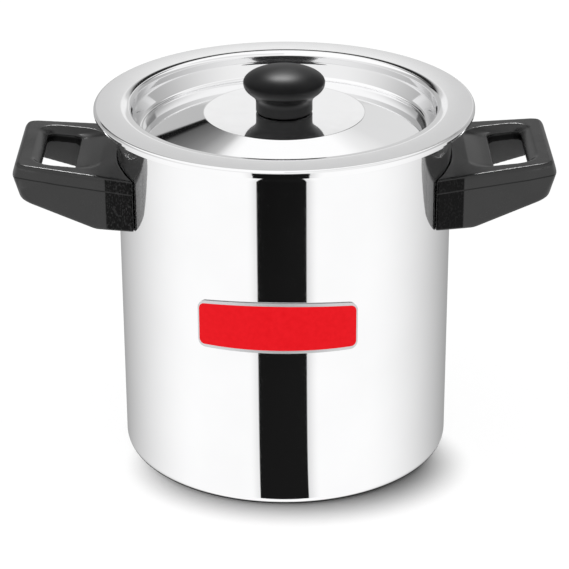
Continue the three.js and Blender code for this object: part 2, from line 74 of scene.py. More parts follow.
CAP_FOOT_BEVEL, CAP_TOP_ROUND, CAP_HOLE_ROUND = 0.6, 1.5, 0.5
CAP_START = (CAP_R * math.cos(NECK_TILT) + CAP_CLEAR) / math.sin(NECK_TILT)
NECK_MOUTH = CAP_START + 8
DISC, DISC_GAP, DISC_HOLE_R, DISC_ROUND, CUP_LIFT = 0.6, 3, 1.2, 1.2, 0.9
LABEL_TURN, LABEL_THICK = math.radians(-2.75), 0.4
LABEL_HALF, LABEL_CORNER, RED_HALF, RED_CORNER, RED_INSET = 33.75, 3.4, 33.1, 2.3, 1.25
LABEL_LOW, LABEL_HIGH, LABEL_LOW_ARCH, LABEL_HIGH_ARCH = 71.4, 91.9, 0.6, 2.4

# Fineness of the meshes: facets round a turned piece, turn along an arc, pieces along a curve,
# and the handles' voxels in metres with the share of faces kept
BODY_STEPS, KNOB_STEPS, CAP_STEPS, FITTING_STEPS, HEAD_STEPS, CUT_STEPS = 216, 120, 72, 64, 48, 360
ARC_STEP = math.radians(7.5)
CURVE_STEPS, EDGE_STEPS, DISH_STEPS, LABEL_STEPS, CORNER_STEPS = 24, 6, 12, 120, 8
VOXEL, KEPT_FACES = 0.0004, 0.3


# Outlines in the plane
def corner_arc(before, corner, after):
    """An arc in a corner. It takes at most half of a side that has a rounded corner at its other end too."""
    here = Vector(corner[:2])
    back, ahead = Vector(before[:2]) - here, Vector(after[:2]) - here
    half = back.angle(ahead) / 2
    back_room = back.length * (0.5 if before[2:] else 0.98)
    ahead_room = ahead.length * (0.5 if after[2:] else 0.98)
    reach = min(corner[2] / math.tan(half), back_room, ahead_room)
    radius = reach * math.tan(half)
    back.normalize()
    ahead.normalize()
    centre = here + (back + ahead).normalized() * (radius / math.sin(half))
    start, end = here + back * reach - centre, here + ahead * reach - centre
    sweep = math.atan2(start.x * end.y - start.y * end.x, start.dot(end))
    count = max(3, math.ceil(abs(sweep) / ARC_STEP - 0.001))
    points = []
    for k in range(count + 1):
        turn = sweep * k / count
        points.append(centre + Matrix.Rotation(turn, 2) @ start)
    return points


def rounded_path(corners, closed=False):
    """Corners of two numbers stay sharp, and a third number is the radius of a rounded one."""
    points = []
    for i, corner in enumerate(corners):
        is_end = not closed and i in (0, len(corners) - 1)
        if is_end or len(corner) < 3:
            points.append(Vector(corner[:2]))
        else:
            points += corner_arc(corners[i - 1], corner, corners[(i + 1) % len(corners)])
    return points


def offset_path(path, distance, closed=False):
    """The path moved to its left, with mitred corners."""
    def left(a, b):
        return Vector((a.y - b.y, b.x - a.x)).normalized()

    moved = []
    last = len(path) - 1
    for i, point in enumerate(path):
        before = path[i - 1] if i or closed else None
        after = path[(i + 1) % len(path)] if i < last or closed else None
        first = left(before, point) if before is not None else left(point, after)
        second = left(point, after) if after is not None else left(before, point)
        mitre = (first + second).normalized()
        moved.append(point + mitre * (distance / mitre.dot(first)))
    return moved


def sheet_outline(path, thickness):
    """A closed outline of sheet metal that follows the path."""
    return path + offset_path(path, thickness)[::-1] + [path[0].copy()]


def subdivided(path, limit):
    points = []
    for i, point in enumerate(path):
        after = path[(i + 1) % len(path)]
        pieces = max(1, math.ceil((after - point).length / limit))
        points += [point.lerp(after, k / pieces) for k in range(pieces)]
    return points


# Meshes
def new_object(name, bm):
    bmesh.ops.remove_doubles(bm, verts=bm.verts, dist=1e-7)
    bmesh.ops.recalc_face_normals(bm, faces=bm.faces)
    mesh = bpy.data.meshes.new(name)
    bm.to_mesh(mesh)
    bm.free()
    piece = bpy.data.objects.new(name, mesh)
    bpy.context.collection.objects.link(piece)
    return piece


def smooth(piece, angle=32):
    mesh = piece.data
    mesh.polygons.foreach_set("use_smooth", [True] * len(mesh.polygons))
    mesh.set_sharp_from_angle(angle=math.radians(angle))


def turned(name, outline, steps, matrix=None):
    """A closed solid of revolution about Z from an outline of radius and height in millimetres."""
    bm = bmesh.new()
    rows = []
    for r, z in outline:
        if r < 1e-6:
            rows.append([bm.verts.new((0, 0, z * MM))] * steps)
            continue
        ring = []
        for k in range(steps):
            a = 2 * math.pi * k / steps
            ring.append(bm.verts.new((r * MM * math.sin(a), -r * MM * math.cos(a), z * MM)))
        rows.append(ring)
    for lower, upper in zip(rows, rows[1:]):
        for k in range(steps):
            j = (k + 1) % steps
            corners = []
            for v in (lower[k], lower[j], upper[j], upper[k]):
                if v not in corners:
                    corners.append(v)
            if len(corners) > 2:
                bm.faces.new(corners)
    if matrix is not None:
        bm.transform(matrix)
    piece = new_object(name, bm)
    smooth(piece)
    return piece


def loft(name, rings):
    """A closed solid through rings of points in millimetres."""
    bm = bmesh.new()
    rows = [[bm.verts.new(Vector(p) * MM) for p in ring] for ring in rings]
    count = len(rows[0])
    for lower, upper in zip(rows, rows[1:]):
        for k in range(count):
            j = (k + 1) % count
            bm.faces.new((lower[k], lower[j], upper[j], upper[k]))
    bm.faces.new(rows[0])
    bm.faces.new(rows[-1])
    return new_object(name, bm)


def apply_modifiers(piece):
    evaluated = piece.evaluated_get(bpy.context.evaluated_depsgraph_get())
    mesh = bpy.data.meshes.new_from_object(evaluated)
    piece.modifiers.clear()
    old = piece.data
    piece.data = mesh
    mesh.name = piece.name
    bpy.data.meshes.remove(old)


def cut(piece, *cutters):
    for cutter in cutters:
        boolean = piece.modifiers.new("cut", "BOOLEAN")
        boolean.operation = "DIFFERENCE"
        boolean.solver = "EXACT"
        boolean.object = cutter
        apply_modifiers(piece)
        bpy.data.objects.remove(cutter)


def place(piece, body, nodes, slot, *materials):
    """Dresses a finished mesh and hands it to the frame in place of its solids."""
    weighted = piece.modifiers.new("weighted", "WEIGHTED_NORMAL")
    weighted.weight = 100
    weighted.keep_sharp = True
    apply_modifiers(piece)
    for material in materials:
        piece.data.materials.append(material)
    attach(piece, body)
    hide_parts(*nodes)


# Materials
class Nodes:
    """A node tree with its output, and short ways to add and join nodes."""

    def __init__(self, owner, shader="ShaderNodeBsdfPrincipled", output="ShaderNodeOutputMaterial"):
        owner.use_nodes = True
        self.owner = owner
        self.tree = owner.node_tree
        self.tree.nodes.clear()
        self.output = self.add(output)
        self.shader = self.add(shader)
        self.join(self.shader.outputs[0], self.output.inputs["Surface"])

    def add(self, kind, **values):
        node = self.tree.nodes.new(kind)
        for key, value in values.items():
            if hasattr(node, key):
                setattr(node, key, value)
            else:
                node.inputs[key.replace("_", " ")].default_value = value
        return node

    def join(self, source, target):
        self.tree.links.new(source, target)

    def noise(self, scale, detail, stretch=None):
        coordinates = self.add("ShaderNodeTexCoord")
        mapping = self.add("ShaderNodeMapping")
        mapping.inputs["Scale"].default_value = stretch or (1, 1, 1)
        self.join(coordinates.outputs["Object"], mapping.inputs["Vector"])
        noise = self.add("ShaderNodeTexNoise", Scale=scale, Detail=detail)
        self.join(mapping.outputs["Vector"], noise.inputs["Vector"])
        return noise.outputs["Fac"]

    def ramp(self, source, stops):
        ramp = self.add("ShaderNodeValToRGB")
        elements = ramp.color_ramp.elements
        while len(elements) < len(stops):
            elements.new(0.5)
        for element, (position, colour) in zip(elements, stops):
            element.position = position
            element.color = (*colour, 1)
        self.join(source, ramp.inputs["Fac"])
        return ramp.outputs["Color"]

    def spread(self, source, low, high):
        """Maps a factor to values between low and high."""
        node = self.add("ShaderNodeMapRange")
        node.inputs["From Min"].default_value = 0.25
        node.inputs["From Max"].default_value = 0.75
        node.inputs["To Min"].default_value = low
        node.inputs["To Max"].default_value = high
        self.join(source, node.inputs["Value"])
        return node.outputs["Result"]

    def math(self, operation, *values):
        node = self.add("ShaderNodeMath", operation=operation)
        for socket, value in zip(node.inputs, values):
            if isinstance(value, (int, float)):
                socket.default_value = value
            else:
                self.join(value, socket)
        return node.outputs[0]

    def step(self, source, low, high):
        """Goes smoothly from 0 at low to 1 at high."""
        node = self.add("ShaderNodeMapRange", interpolation_type="SMOOTHSTEP")
        node.inputs["From Min"].default_value = low
        node.inputs["From Max"].default_value = high
        self.join(source, node.inputs["Value"])
        return node.outputs["Result"]

    def mix(self, factor, first, second):
        """Blends two greys: factor 0 gives the first and 1 the second."""
        return self.math("ADD", self.math("MULTIPLY", first, self.math("SUBTRACT", 1, factor)),
                         self.math("MULTIPLY", second, factor))

    def bump(self, source, strength, distance):
        bump = self.add("ShaderNodeBump")
        bump.inputs["Strength"].default_value = strength
        bump.inputs["Distance"].default_value = distance
        self.join(source, bump.inputs["Height"])
        self.join(bump.outputs["Normal"], self.shader.inputs["Normal"])


STEEL_TONE, SATIN_ROUGH, SATIN_METAL, SATIN_FADE = (0.93, 0.93, 0.935), 0.16, 0.9, 2
POLISH_DEPTH, MOULD_DEPTH, GRAIN_DEPTH = 0.00001, 0.00006, 0.00004


def steel(name, rough, grain, strength, satin_below=None):
    """Stainless sheet: polish marks drawn round the piece, faint blotches and a little change of gloss.

    Below a given height it is satin."""
    m = Nodes(bpy.data.materials.new(name))
    blotch = m.noise(28, 3)
    marks = m.noise(160, 5, grain)
    low = tuple(c * 0.97 for c in STEEL_TONE)
    m.join(m.ramp(blotch, [(0.3, low), (0.7, STEEL_TONE)]), m.shader.inputs["Base Color"])
    gloss = m.spread(marks, rough * 0.7, rough * 1.3)
    m.shader.inputs["Metallic"].default_value = 1
    if satin_below is not None:
        at = m.add("ShaderNodeSeparateXYZ")
        m.join(m.add("ShaderNodeNewGeometry").outputs["Position"], at.inputs[0])
        above = m.step(at.outputs["Z"], (satin_below - SATIN_FADE) * MM, satin_below * MM)
        gloss = m.mix(above, SATIN_ROUGH, gloss)
        m.join(m.mix(above, SATIN_METAL, 1), m.shader.inputs["Metallic"])
    m.join(gloss, m.shader.inputs["Roughness"])
    m.bump(marks, strength, POLISH_DEPTH)
    return m.owner


def bakelite(name, dark, pale, rough, scale, strength, level, top_level):
    """Moulded phenolic: fine mould grain, cloudy tone, a worn change of gloss and a duller top."""
    m = Nodes(bpy.data.materials.new(name))
    cloud = m.noise(70, 4)
    grain = m.noise(scale, 6)
    m.join(m.ramp(cloud, [(0.3, dark), (0.72, pale)]), m.shader.inputs["Base Color"])
    m.join(m.spread(cloud, rough * 0.85, rough * 1.15), m.shader.inputs["Roughness"])
    facing = m.add("ShaderNodeSeparateXYZ")
    m.join(m.add("ShaderNodeTexCoord").outputs["Normal"], facing.inputs[0])
    gloss = m.mix(m.step(facing.outputs["Z"], -0.2, 0.4), level, top_level)
    m.join(gloss, m.shader.inputs["Specular IOR Level"])
    m.bump(grain, strength, MOULD_DEPTH)
    return m.owner


def handle_bakelite():
    """The handles' phenolic: a parting line round the sides, and a grained collar where they meet the pot.

    The slot's walls are darkened with painted shade, and the hollow's far wall underneath is made paler with
    painted light from the floor."""
    m = Nodes(bpy.data.materials.new("moulded_black"))
    fade, margin, side_margin = 0.3, 0.6, 1.2
    black, worn, dull = 0.002, 0.04, 0.1

    def inside(source, limit):
        return m.math("SUBTRACT", 1, m.step(source, (limit - fade) * MM, (limit + fade) * MM))

    def product(first, *others):
        for other in others:
            first = m.math("MULTIPLY", first, other)
        return first

    cloud = m.noise(70, 4)
    place_on = m.add("ShaderNodeTexCoord")
    at, facing = m.add("ShaderNodeSeparateXYZ"), m.add("ShaderNodeSeparateXYZ")
    m.join(place_on.outputs["Object"], at.inputs[0])
    m.join(place_on.outputs["Normal"], facing.inputs[0])
    reach = m.math("SUBTRACT", m.math("ABSOLUTE", at.outputs["X"]), BODY_R * MM)
    sideways = m.step(m.math("ABSOLUTE", facing.outputs["Y"]), 0.75, 0.9)
    collar = m.math("MULTIPLY", inside(reach, COLLAR), sideways)
    top = m.math("ADD", m.math("MULTIPLY", reach, math.tan(HANDLE_TILT)), HANDLE_Z * MM)
    depth = m.math("SUBTRACT", top, at.outputs["Z"])
    below = m.math("SUBTRACT", depth, PARTING * MM)
    upright = m.math("SUBTRACT", 1, m.step(m.math("ABSOLUTE", facing.outputs["Z"]), 0.5, 0.8))
    parting = m.math("SUBTRACT", 1, m.step(m.math("ABSOLUTE", below), 0.1 * MM, 0.4 * MM))
    parting = product(parting, upright, 0.7)
    speckle = m.step(m.noise(1500, 2, (1, 1, 0.6)), 0.48, 0.68)
    speckle_tone = m.mix(m.step(at.outputs["X"], -0.01, 0.01), 0.024, 0.01)
    tone = m.mix(collar, m.spread(cloud, 0.011, 0.017), m.mix(speckle, black, speckle_tone))
    sideways_off = m.math("ABSOLUTE", at.outputs["Y"])
    slot_off = m.math("ABSOLUTE", m.math("SUBTRACT", reach, (SLOT_NEAR + SLOT_WIDTH / 2) * MM))
    # Painted shade: the slot's walls below the dish, made near black as if in shadow inside the slot
    slot_painted_shade = product(
        inside(slot_off, SLOT_WIDTH / 2 + margin), inside(sideways_off, SLOT_FAR_LENGTH / 2 + margin),
        m.step(depth, (DISH_DEPTH + 0.8) * MM, (DISH_DEPTH + 2) * MM), inside(depth, HANDLE_SKIN + 0.2))
    narrowing = (HANDLE_ROOT_WIDTH - HANDLE_END_WIDTH) / 2 / HANDLE_REACH
    side = m.math("ADD", sideways_off, m.math("MULTIPLY", reach, narrowing))
    # Painted light: the hollow's far wall under the skin, made paler as if lit by the floor below
    under = product(
        inside(side, HANDLE_ROOT_WIDTH / 2 - side_margin),
        m.step(depth, HANDLE_SKIN * MM, (HANDLE_SKIN + margin) * MM),
        m.step(reach, (SLOT_NEAR - 1) * MM, SLOT_NEAR * MM), inside(reach, HANDLE_REACH - HANDLE_WALL))
    # Painted shade in the slot
    tone = m.mix(slot_painted_shade, tone, black)
    # Painted floor light on the hollow's far wall
    tone = m.mix(under, tone, m.spread(cloud, 0.05, 0.07))
    tone = m.mix(parting, tone, m.mix(collar, black, worn))
    colour = m.add("ShaderNodeCombineColor")
    for channel in colour.inputs:
        m.join(tone, channel)
    m.join(colour.outputs[0], m.shader.inputs["Base Color"])
    rough = m.mix(m.math("MAXIMUM", under, slot_painted_shade), m.spread(cloud, 0.2, 0.26), 0.5)
    m.join(rough, m.shader.inputs["Roughness"])
    gloss = m.mix(m.step(facing.outputs["Z"], 0.6, 0.95), 0.5, 0.16)
    edge_on = m.add("ShaderNodeLayerWeight").outputs["Facing"]
    gloss = m.mix(m.math("MAXIMUM", parting, slot_painted_shade), gloss, dull)
    gloss = m.mix(collar, gloss, m.mix(m.step(edge_on, 0.25, 0.65), dull, 1.0))
    m.join(gloss, m.shader.inputs["Specular IOR Level"])
    grain = m.math("MULTIPLY", m.noise(1100, 5), m.mix(collar, 0.25, 1.0))
    m.bump(m.math("SUBTRACT", grain, m.math("MULTIPLY", parting, 2)), 0.35, MOULD_DEPTH)
    return m.owner


def plain(name, dark, pale, rough, metallic, scale, level=0.5):
    """A small fitting: tone and gloss vary a little over a fine grain."""
    m = Nodes(bpy.data.materials.new(name))
    grain = m.noise(scale, 5)
    m.join(m.ramp(grain, [(0.3, dark), (0.7, pale)]), m.shader.inputs["Base Color"])
    m.join(m.spread(grain, rough * 0.8, rough * 1.25), m.shader.inputs["Roughness"])
    m.shader.inputs["Metallic"].default_value = metallic
    m.shader.inputs["Specular IOR Level"].default_value = level
    m.bump(grain, 0.15, GRAIN_DEPTH)
    return m.owner


POT_POLISH = 0.045, (0.4, 0.4, 6), 0.06
polished = steel("polished_steel", *POT_POLISH)
lid_steel = steel("polished_lid_steel", 0.05, (1, 1, 1), 0.05)
rolled = plain("rolled_steel", (0.52, 0.53, 0.54), (0.64, 0.65, 0.66), 0.3, 1, 900)
brass = plain("turned_brass", (0.55, 0.4, 0.16), (0.68, 0.52, 0.24), 0.3, 1, 800)
silicone = plain("silicone", (0.55, 0.53, 0.49), (0.64, 0.62, 0.58), 0.65, 0, 700)
red_enamel = plain("red_enamel", (0.82, 0.006, 0.012), (0.87, 0.009, 0.016), 0.35, 0, 500, 0.06)
foil_edge = plain("foil_edge", (0.65, 0.65, 0.66), (0.71, 0.71, 0.72), 0.5, 0.7, 2500)
moulded = handle_bakelite()
knob_black = bakelite(
    "moulded_black_knob", (0.008, 0.008, 0.0083), (0.013, 0.013, 0.0135), 0.34, 1800, 0.2, 0.35, 0.055)


def well_corners():
    """The wall of the lid's well: its foot, a bend, the shoulder, and the end of the eased shoulder."""
    shoulder = (WELL_TOP_R - EASE_DROP * math.tan(WELL_TOP_TAPER), HEIGHT - EASE_DROP)
    return [(WELL_R, HEIGHT - WELL_DEPTH), (WELL_BEND_AT, HEIGHT - WELL_BEND), shoulder,
            (WELL_TOP_R + EASE_WIDTH, HEIGHT)]


# Pot: shell with the neck's hole, and the vessel hung inside it
neck_frame = Matrix.Translation((0, BODY_R * MM, NECK_Z * MM)) @ Matrix.Rotation(-NECK_TILT, 4, "X")

shell_path = rounded_path([
    (0, 0), (BODY_R, 0, BASE_CORNER_R), (BODY_R, SHELL_FLANGE, RIM_FILLET_R), (SHELL_FLANGE_R, SHELL_FLANGE)])
shell = turned("shell_polished", sheet_outline(shell_path, SHEET), BODY_STEPS)
hole_start, hole_end = -12, 25
hole_outline = [(0, hole_start), (NECK_R + FIT, hole_start), (NECK_R + FIT, hole_end), (0, hole_end)]
cut(shell, turned("neck_hole", hole_outline, FITTING_STEPS, neck_frame))
smooth(shell)
place(shell, "pot", ["outer_shell"], "mirror_steel", polished)

mouth = offset_path([Vector(p) for p in (*well_corners(), (RING_R, HEIGHT))], -SEAT)
mouth_bottom = mouth[1].y - (mouth[1].x - VESSEL_R) / math.tan(WELL_LOW_TAPER)
vessel_path = rounded_path([
    (0, VESSEL_FLOOR), (VESSEL_R, VESSEL_FLOOR, VESSEL_CORNER_R), (VESSEL_R, mouth_bottom),
    (*mouth[1], WELL_BEND_R), (*mouth[2], SHOULDER_R - SEAT), (*mouth[3], EASE_R - SEAT),
    (HEM_OUT_R, VESSEL_TOP, HEM_R), (HEM_OUT_R, VESSEL_TOP - HEM_DEPTH)])
vessel = turned("vessel_polished", sheet_outline(vessel_path, -SHEET), BODY_STEPS)
# The vessel is polished round its mouth and satin inside
vessel_steel = steel("vessel_steel", *POT_POLISH, mouth_bottom)
place(vessel, "pot", ["inner_vessel"], "mirror_steel", vessel_steel)

# Lid
lid_path = rounded_path([
    (LID_HOLE_R, PLATEAU_Z), (PLATEAU_R, PLATEAU_Z, PLATEAU_EDGE_R),
    *[(*p, r) for p, r in zip(well_corners(), (WELL_CORNER_R, WELL_BEND_R, SHOULDER_R, EASE_R))],
    (RING_R, HEIGHT, LIP_R), (RING_R, HEIGHT - LIP_DEPTH)])
lid = turned("lid_polished", sheet_outline(lid_path, -SHEET), BODY_STEPS)
place(lid, "lid", ["lid_pan"], "mirror_steel", lid_steel)


def bezier(points, count):
    a, b, c, d = (Vector(p) for p in points)
    for k in range(count + 1):
        t = k / count
        yield a * (1 - t) ** 3 + b * (3 * t * (1 - t) ** 2) + c * (3 * t * t * (1 - t)) + d * t ** 3


def knob_outline():
    """The bore for the insert, the neck, the flare under the knob and its flattened dome."""
    middle = (KNOB_NECK_TOP + KNOB_WIDEST) / 2
    flare = [(KNOB_NECK_R, KNOB_NECK_TOP), (KNOB_NECK_R, middle), (KNOB_R, middle), (KNOB_R, KNOB_WIDEST)]
    foot = [(0, KNOB_BORE_DEPTH), (KNOB_BORE_R, KNOB_BORE_DEPTH), (KNOB_BORE_R, 0), (KNOB_FOOT_R, 0),
            (KNOB_NECK_R, KNOB_BEVEL)]
    points = [*(Vector(p) for p in foot), *bezier(flare, CURVE_STEPS)]
    for k in range(1, CURVE_STEPS):
        a = math.pi / 2 * k / CURVE_STEPS
        points.append(Vector((KNOB_R * math.cos(a), KNOB_WIDEST + (KNOB_HEIGHT - KNOB_WIDEST) * math.sin(a))))
    return points + [Vector((0, KNOB_HEIGHT))]


knob = turned("knob_moulded", knob_outline(), KNOB_STEPS, Matrix.Translation((0, 0, KNOB_BASE * MM)))
place(knob, "lid", ["knob"], "bakelite", knob_black)


# Handles
def rise(u):
    return u * math.tan(HANDLE_TILT)


def half_width(u):
    return (HANDLE_ROOT_WIDTH + (HANDLE_END_WIDTH - HANDLE_ROOT_WIDTH) * u / HANDLE_REACH) / 2


NOSE_TOP = Vector((HANDLE_REACH - NOSE_TOP_BACK, rise(HANDLE_REACH - NOSE_TOP_BACK)))
NOSE = Vector((HANDLE_REACH, NOSE_TOP.y - NOSE_DROP))
NOSE_LOW = Vector((HANDLE_REACH - NOSE_LOW_BACK, NOSE_TOP.y - HANDLE_END_HEIGHT))


def corner_loss(p):
    """How far the handle's rounded end corners draw its side in at a point of the profile."""
    edge = NOSE_TOP if p.y > NOSE.y else NOSE_LOW
    reach = NOSE.x + (edge.x - NOSE.x) * (p.y - NOSE.y) / (edge.y - NOSE.y)
    inside = max(0.0, HANDLE_CORNER_R - max(0.0, reach - p.x))
    return HANDLE_CORNER_R - math.sqrt(HANDLE_CORNER_R ** 2 - inside ** 2)


def side_ring(profile, sign, inset, loss):
    """The profile set out to one side of the handle, short of its half width by the inset and the loss."""
    return [(BODY_R + p.x, sign * (half_width(p.x) - inset - loss(p)), HANDLE_Z + p.y) for p in profile]


def handle_blank():
    root = -HANDLE_ROOT_WIDTH / 4
    knee = (KNEE_REACH, KNEE_RISE - HANDLE_ROOT_HEIGHT, KNEE_R)
    corners = [(root, rise(root)), (root, -HANDLE_ROOT_HEIGHT), knee, (*NOSE_LOW, NOSE_R), (*NOSE, NOSE_R),
               (*NOSE_TOP, NOSE_TOP_R)]
    profile = subdivided(rounded_path(corners, True), 1.0)
    rings = []
    for k in range(EDGE_STEPS + 1):
        a = math.pi / 2 * k / EDGE_STEPS
        shrunk = offset_path(profile, HANDLE_EDGE_R * (1 - math.cos(a)), True)
        rings.append((shrunk, HANDLE_EDGE_R * (1 - math.sin(a))))
    right = [side_ring(p, 1, inset, corner_loss) for p, inset in reversed(rings)]
    left = [side_ring(p, -1, inset, corner_loss) for p, inset in rings]
    return loft("handle_moulded", right + left)


def hollow_cutter():
    """The hollow under the handle, open below, with drafted sides."""
    near, far, low = SLOT_NEAR - FIT, NOSE_TOP.x - HANDLE_WALL, NOSE_LOW.x - HANDLE_WALL
    beneath = -30
    corners = [(near, beneath), (low, beneath), (low, NOSE_LOW.y), (far, rise(far) - HANDLE_SKIN, HOLLOW_R),
               (near, rise(near) - HANDLE_SKIN, HOLLOW_R)]
    profile = subdivided(rounded_path(corners, True), 2.0)

    def draft(p):
        share = min(1.0, max(0.0, 1 + (p.y + HANDLE_SKIN) / HANDLE_ROOT_HEIGHT))
        return (HANDLE_WALL - HANDLE_LOW_WALL) * share

    return loft("hollow", [side_ring(profile, sign, HANDLE_LOW_WALL, draft) for sign in (1, -1)])


def rounded_opening(width, near_length, far_length, radius, shift=0.0):
    """An opening that is a little longer on its far side."""
    x, near, far = width / 2, near_length / 2, far_length / 2
    corners = [(-x, -near), (x, -far), (x, far), (-x, near)]
    return rounded_path([(shift + u, v, radius) for u, v in corners], True)


def slot_cutter():
    """The slot and the dish round it: hollow towards the pot, rounded over at its ends."""
    slot = rounded_opening(SLOT_WIDTH, SLOT_LENGTH, SLOT_FAR_LENGTH, SLOT_CORNER_R)
    shift = DISH_NEAR + DISH_WIDTH / 2 - SLOT_NEAR - SLOT_WIDTH / 2
    rim = rounded_opening(DISH_WIDTH, DISH_LENGTH, DISH_FAR_LENGTH, DISH_CORNER_R, shift)
    scoops, depths = [], []
    for p, q in zip(slot, rim):
        step = q - p
        scoops.append(max(0.0, -step.x) / (abs(step.x) + abs(step.y)))
        depths.append(DISH_DEPTH + DISH_FALL * (0.5 + p.x / SLOT_WIDTH))
    above = 4
    rings = [[(*q, above) for q in rim]]
    for k in range(DISH_STEPS, -1, -1):
        share = k / DISH_STEPS
        hollow, rolled_over = 1 - share ** 2, (1 - share) ** 1.5
        rings.append([(*p.lerp(q, share), -depth * (rolled_over + (hollow - rolled_over) * scoop))
                      for p, q, scoop, depth in zip(slot, rim, scoops, depths)])
    rings.append([(*p, -HANDLE_SKIN - HOLLOW_R) for p in slot])
    return loft("slot", rings)


handle = handle_blank()
middle = SLOT_NEAR + SLOT_WIDTH / 2
top_frame = Matrix.Translation(Vector((BODY_R + middle, 0, HANDLE_Z + rise(middle))) * MM)
slot_tool = slot_cutter()
slot_tool.data.transform(top_frame @ Matrix.Rotation(-HANDLE_TILT, 4, "Y"))
body_low, body_high, head_low = 60, 170, 100
body_outline = [(0, body_low), (BODY_R + FIT, body_low), (BODY_R + FIT, body_high), (0, body_high)]
body_tool = turned("body_cut", body_outline, CUT_STEPS)
screw_frame = Matrix.Translation(((BODY_R + SCREW_OUT) * MM, 0, 0))
head_outline = [(0, head_low), (HEAD_ROOM_R, head_low), (HEAD_ROOM_R, HEAD_ROOM_TOP), (0, HEAD_ROOM_TOP)]
head_tool = turned("head_room", head_outline, HEAD_STEPS, screw_frame)
cut(handle, slot_tool, hollow_cutter(), body_tool, head_tool)
# A remesh and a light smoothing soften every moulded edge
remesh = handle.modifiers.new("remesh", "REMESH")
remesh.mode = "VOXEL"
remesh.voxel_size = VOXEL
soften = handle.modifiers.new("soften", "SMOOTH")
soften.factor = 0.5
soften.iterations = 5
thin = handle.modifiers.new("thin", "DECIMATE")
thin.ratio = KEPT_FACES
apply_modifiers(handle)
smooth(handle, 60)

left_handle = bpy.data.objects.new("left_handle_moulded", handle.data.copy())
left_handle.data.transform(Matrix.Rotation(math.pi, 4, "Z"))
bpy.context.collection.objects.link(left_handle)
handle.name = "right_handle_moulded"
place(handle, "pot", ["right_handle"], "bakelite", moulded)
place(left_handle, "pot", ["left_handle"], "bakelite", moulded)


# Label: a thin curved plate with an arched top, and a bare edge round a red face
def label_plate():
    columns = {-LABEL_HALF + 2 * LABEL_HALF * k / LABEL_STEPS for k in range(LABEL_STEPS + 1)}
    for k in range(CORNER_STEPS + 1):
        share = 1 - math.sin(math.pi / 2 * k / CORNER_STEPS)
        for end in (LABEL_HALF - LABEL_CORNER * share, RED_HALF - RED_CORNER * share):
            columns |= {end, -end}
    columns = sorted({round(s, 4) for s in columns})

    def levels(s, reach, radius, inset):
        """Lower and upper edge, at a place along the label, of an outline with that reach and inset."""
        arch = 1 - (s / LABEL_HALF) ** 2
        over = max(0.0, abs(s) - (reach - radius))
        drop = inset + radius - math.sqrt(max(0.0, radius * radius - over * over))
        return LABEL_LOW + LABEL_LOW_ARCH * arch + drop, LABEL_HIGH + LABEL_HIGH_ARCH * arch - drop

    bm = bmesh.new()

    def vert(s, z, out):
        a = LABEL_TURN + s / (BODY_R + FIT)
        r = (BODY_R + FIT + out) * MM
        return bm.verts.new((r * math.sin(a), -r * math.cos(a), z * MM))

    rows = []
    for s in columns:
        lower, upper = levels(s, LABEL_HALF, LABEL_CORNER, 0)
        heights = [lower, upper]
        if abs(s) <= RED_HALF:
            heights = [lower, *levels(s, RED_HALF, RED_CORNER, RED_INSET), upper]
        rows.append(([vert(s, z, LABEL_THICK) for z in heights], [vert(s, z, 0) for z in (lower, upper)]))
    for (front, back), (front2, back2) in zip(rows, rows[1:]):
        if len(front) == 4 and len(front2) == 4:
            for k in range(3):
                face = bm.faces.new((front[k], front2[k], front2[k + 1], front[k + 1]))
                face.material_index = 1 if k == 1 else 0
        else:
            bm.faces.new(front + front2[::-1])
        bm.faces.new((back[0], back[1], back2[1], back2[0]))
        bm.faces.new((front[0], back[0], back2[0], front2[0]))
        bm.faces.new((front[-1], front2[-1], back2[1], back[1]))
    for front, back in (rows[0], rows[-1]):
        bm.faces.new(front + back[::-1])
    piece = new_object("label_plate", bm)
    smooth(piece)
    return piece


place(label_plate(), "pot", ["front_label"], "red_plate", foil_edge, red_enamel)

# Filler neck and whistle
bore = NECK_R - NECK_WALL
neck_path = [
    (bore, -NECK_INSIDE), (NECK_R, -NECK_INSIDE), (NECK_R, NECK_MOUTH - NECK_BEVEL),
    (NECK_R - NECK_BEVEL, NECK_MOUTH), (bore, NECK_MOUTH), (bore, -NECK_INSIDE)]
neck = turned("neck_tube", neck_path, FITTING_STEPS, neck_frame)
place(neck, "pot", ["filler_neck"], "plain_steel", rolled)

disc_r = CAP_BORE_R - FIT
disc_low = NECK_MOUTH + FIT
disc_up = disc_low + DISC + DISC_GAP
roof = disc_up + DISC + FIT
cap_top = roof + CAP_ROOF
cap_path = rounded_path([
    (CAP_BORE_R, CAP_START), (CAP_R, CAP_START, CAP_FOOT_BEVEL), (CAP_R, cap_top, CAP_TOP_ROUND),
    (CAP_HOLE_R, cap_top, CAP_HOLE_ROUND), (CAP_HOLE_R, roof), (CAP_BORE_R, roof), (CAP_BORE_R, CAP_START)])
cap = turned("cap_moulded", cap_path, CAP_STEPS, neck_frame)
place(cap, "whistle", ["whistle_cap"], "bakelite", knob_black)

seal_in, seal_start = NECK_R + FIT, CAP_START + FIT
seal_path = [(seal_in, seal_start), (disc_r, seal_start), (disc_r, NECK_MOUTH), (seal_in, NECK_MOUTH),
             (seal_in, seal_start)]
seal = turned("seal_sleeve", seal_path, FITTING_STEPS, neck_frame)
place(seal, "whistle", ["whistle_seal"], "silicone", silicone)

lower_path = [(DISC_HOLE_R, disc_low), (disc_r, disc_low), (disc_r, disc_low + DISC),
              (DISC_HOLE_R, disc_low + DISC), (DISC_HOLE_R, disc_low)]
lower_disc = turned("whistle_plate_lower", lower_path, FITTING_STEPS, neck_frame)
place(lower_disc, "whistle", ["whistle_disc_lower"], "plain_steel", rolled)

cup_top = disc_up + DISC
cup = rounded_path([(DISC_HOLE_R, cup_top), (disc_r, cup_top, DISC_ROUND), (disc_r, disc_low + CUP_LIFT)])
upper_disc = turned("whistle_plate_upper", sheet_outline(cup, -DISC), FITTING_STEPS, neck_frame)
place(upper_disc, "whistle", ["whistle_disc_upper"], "plain_steel", rolled)

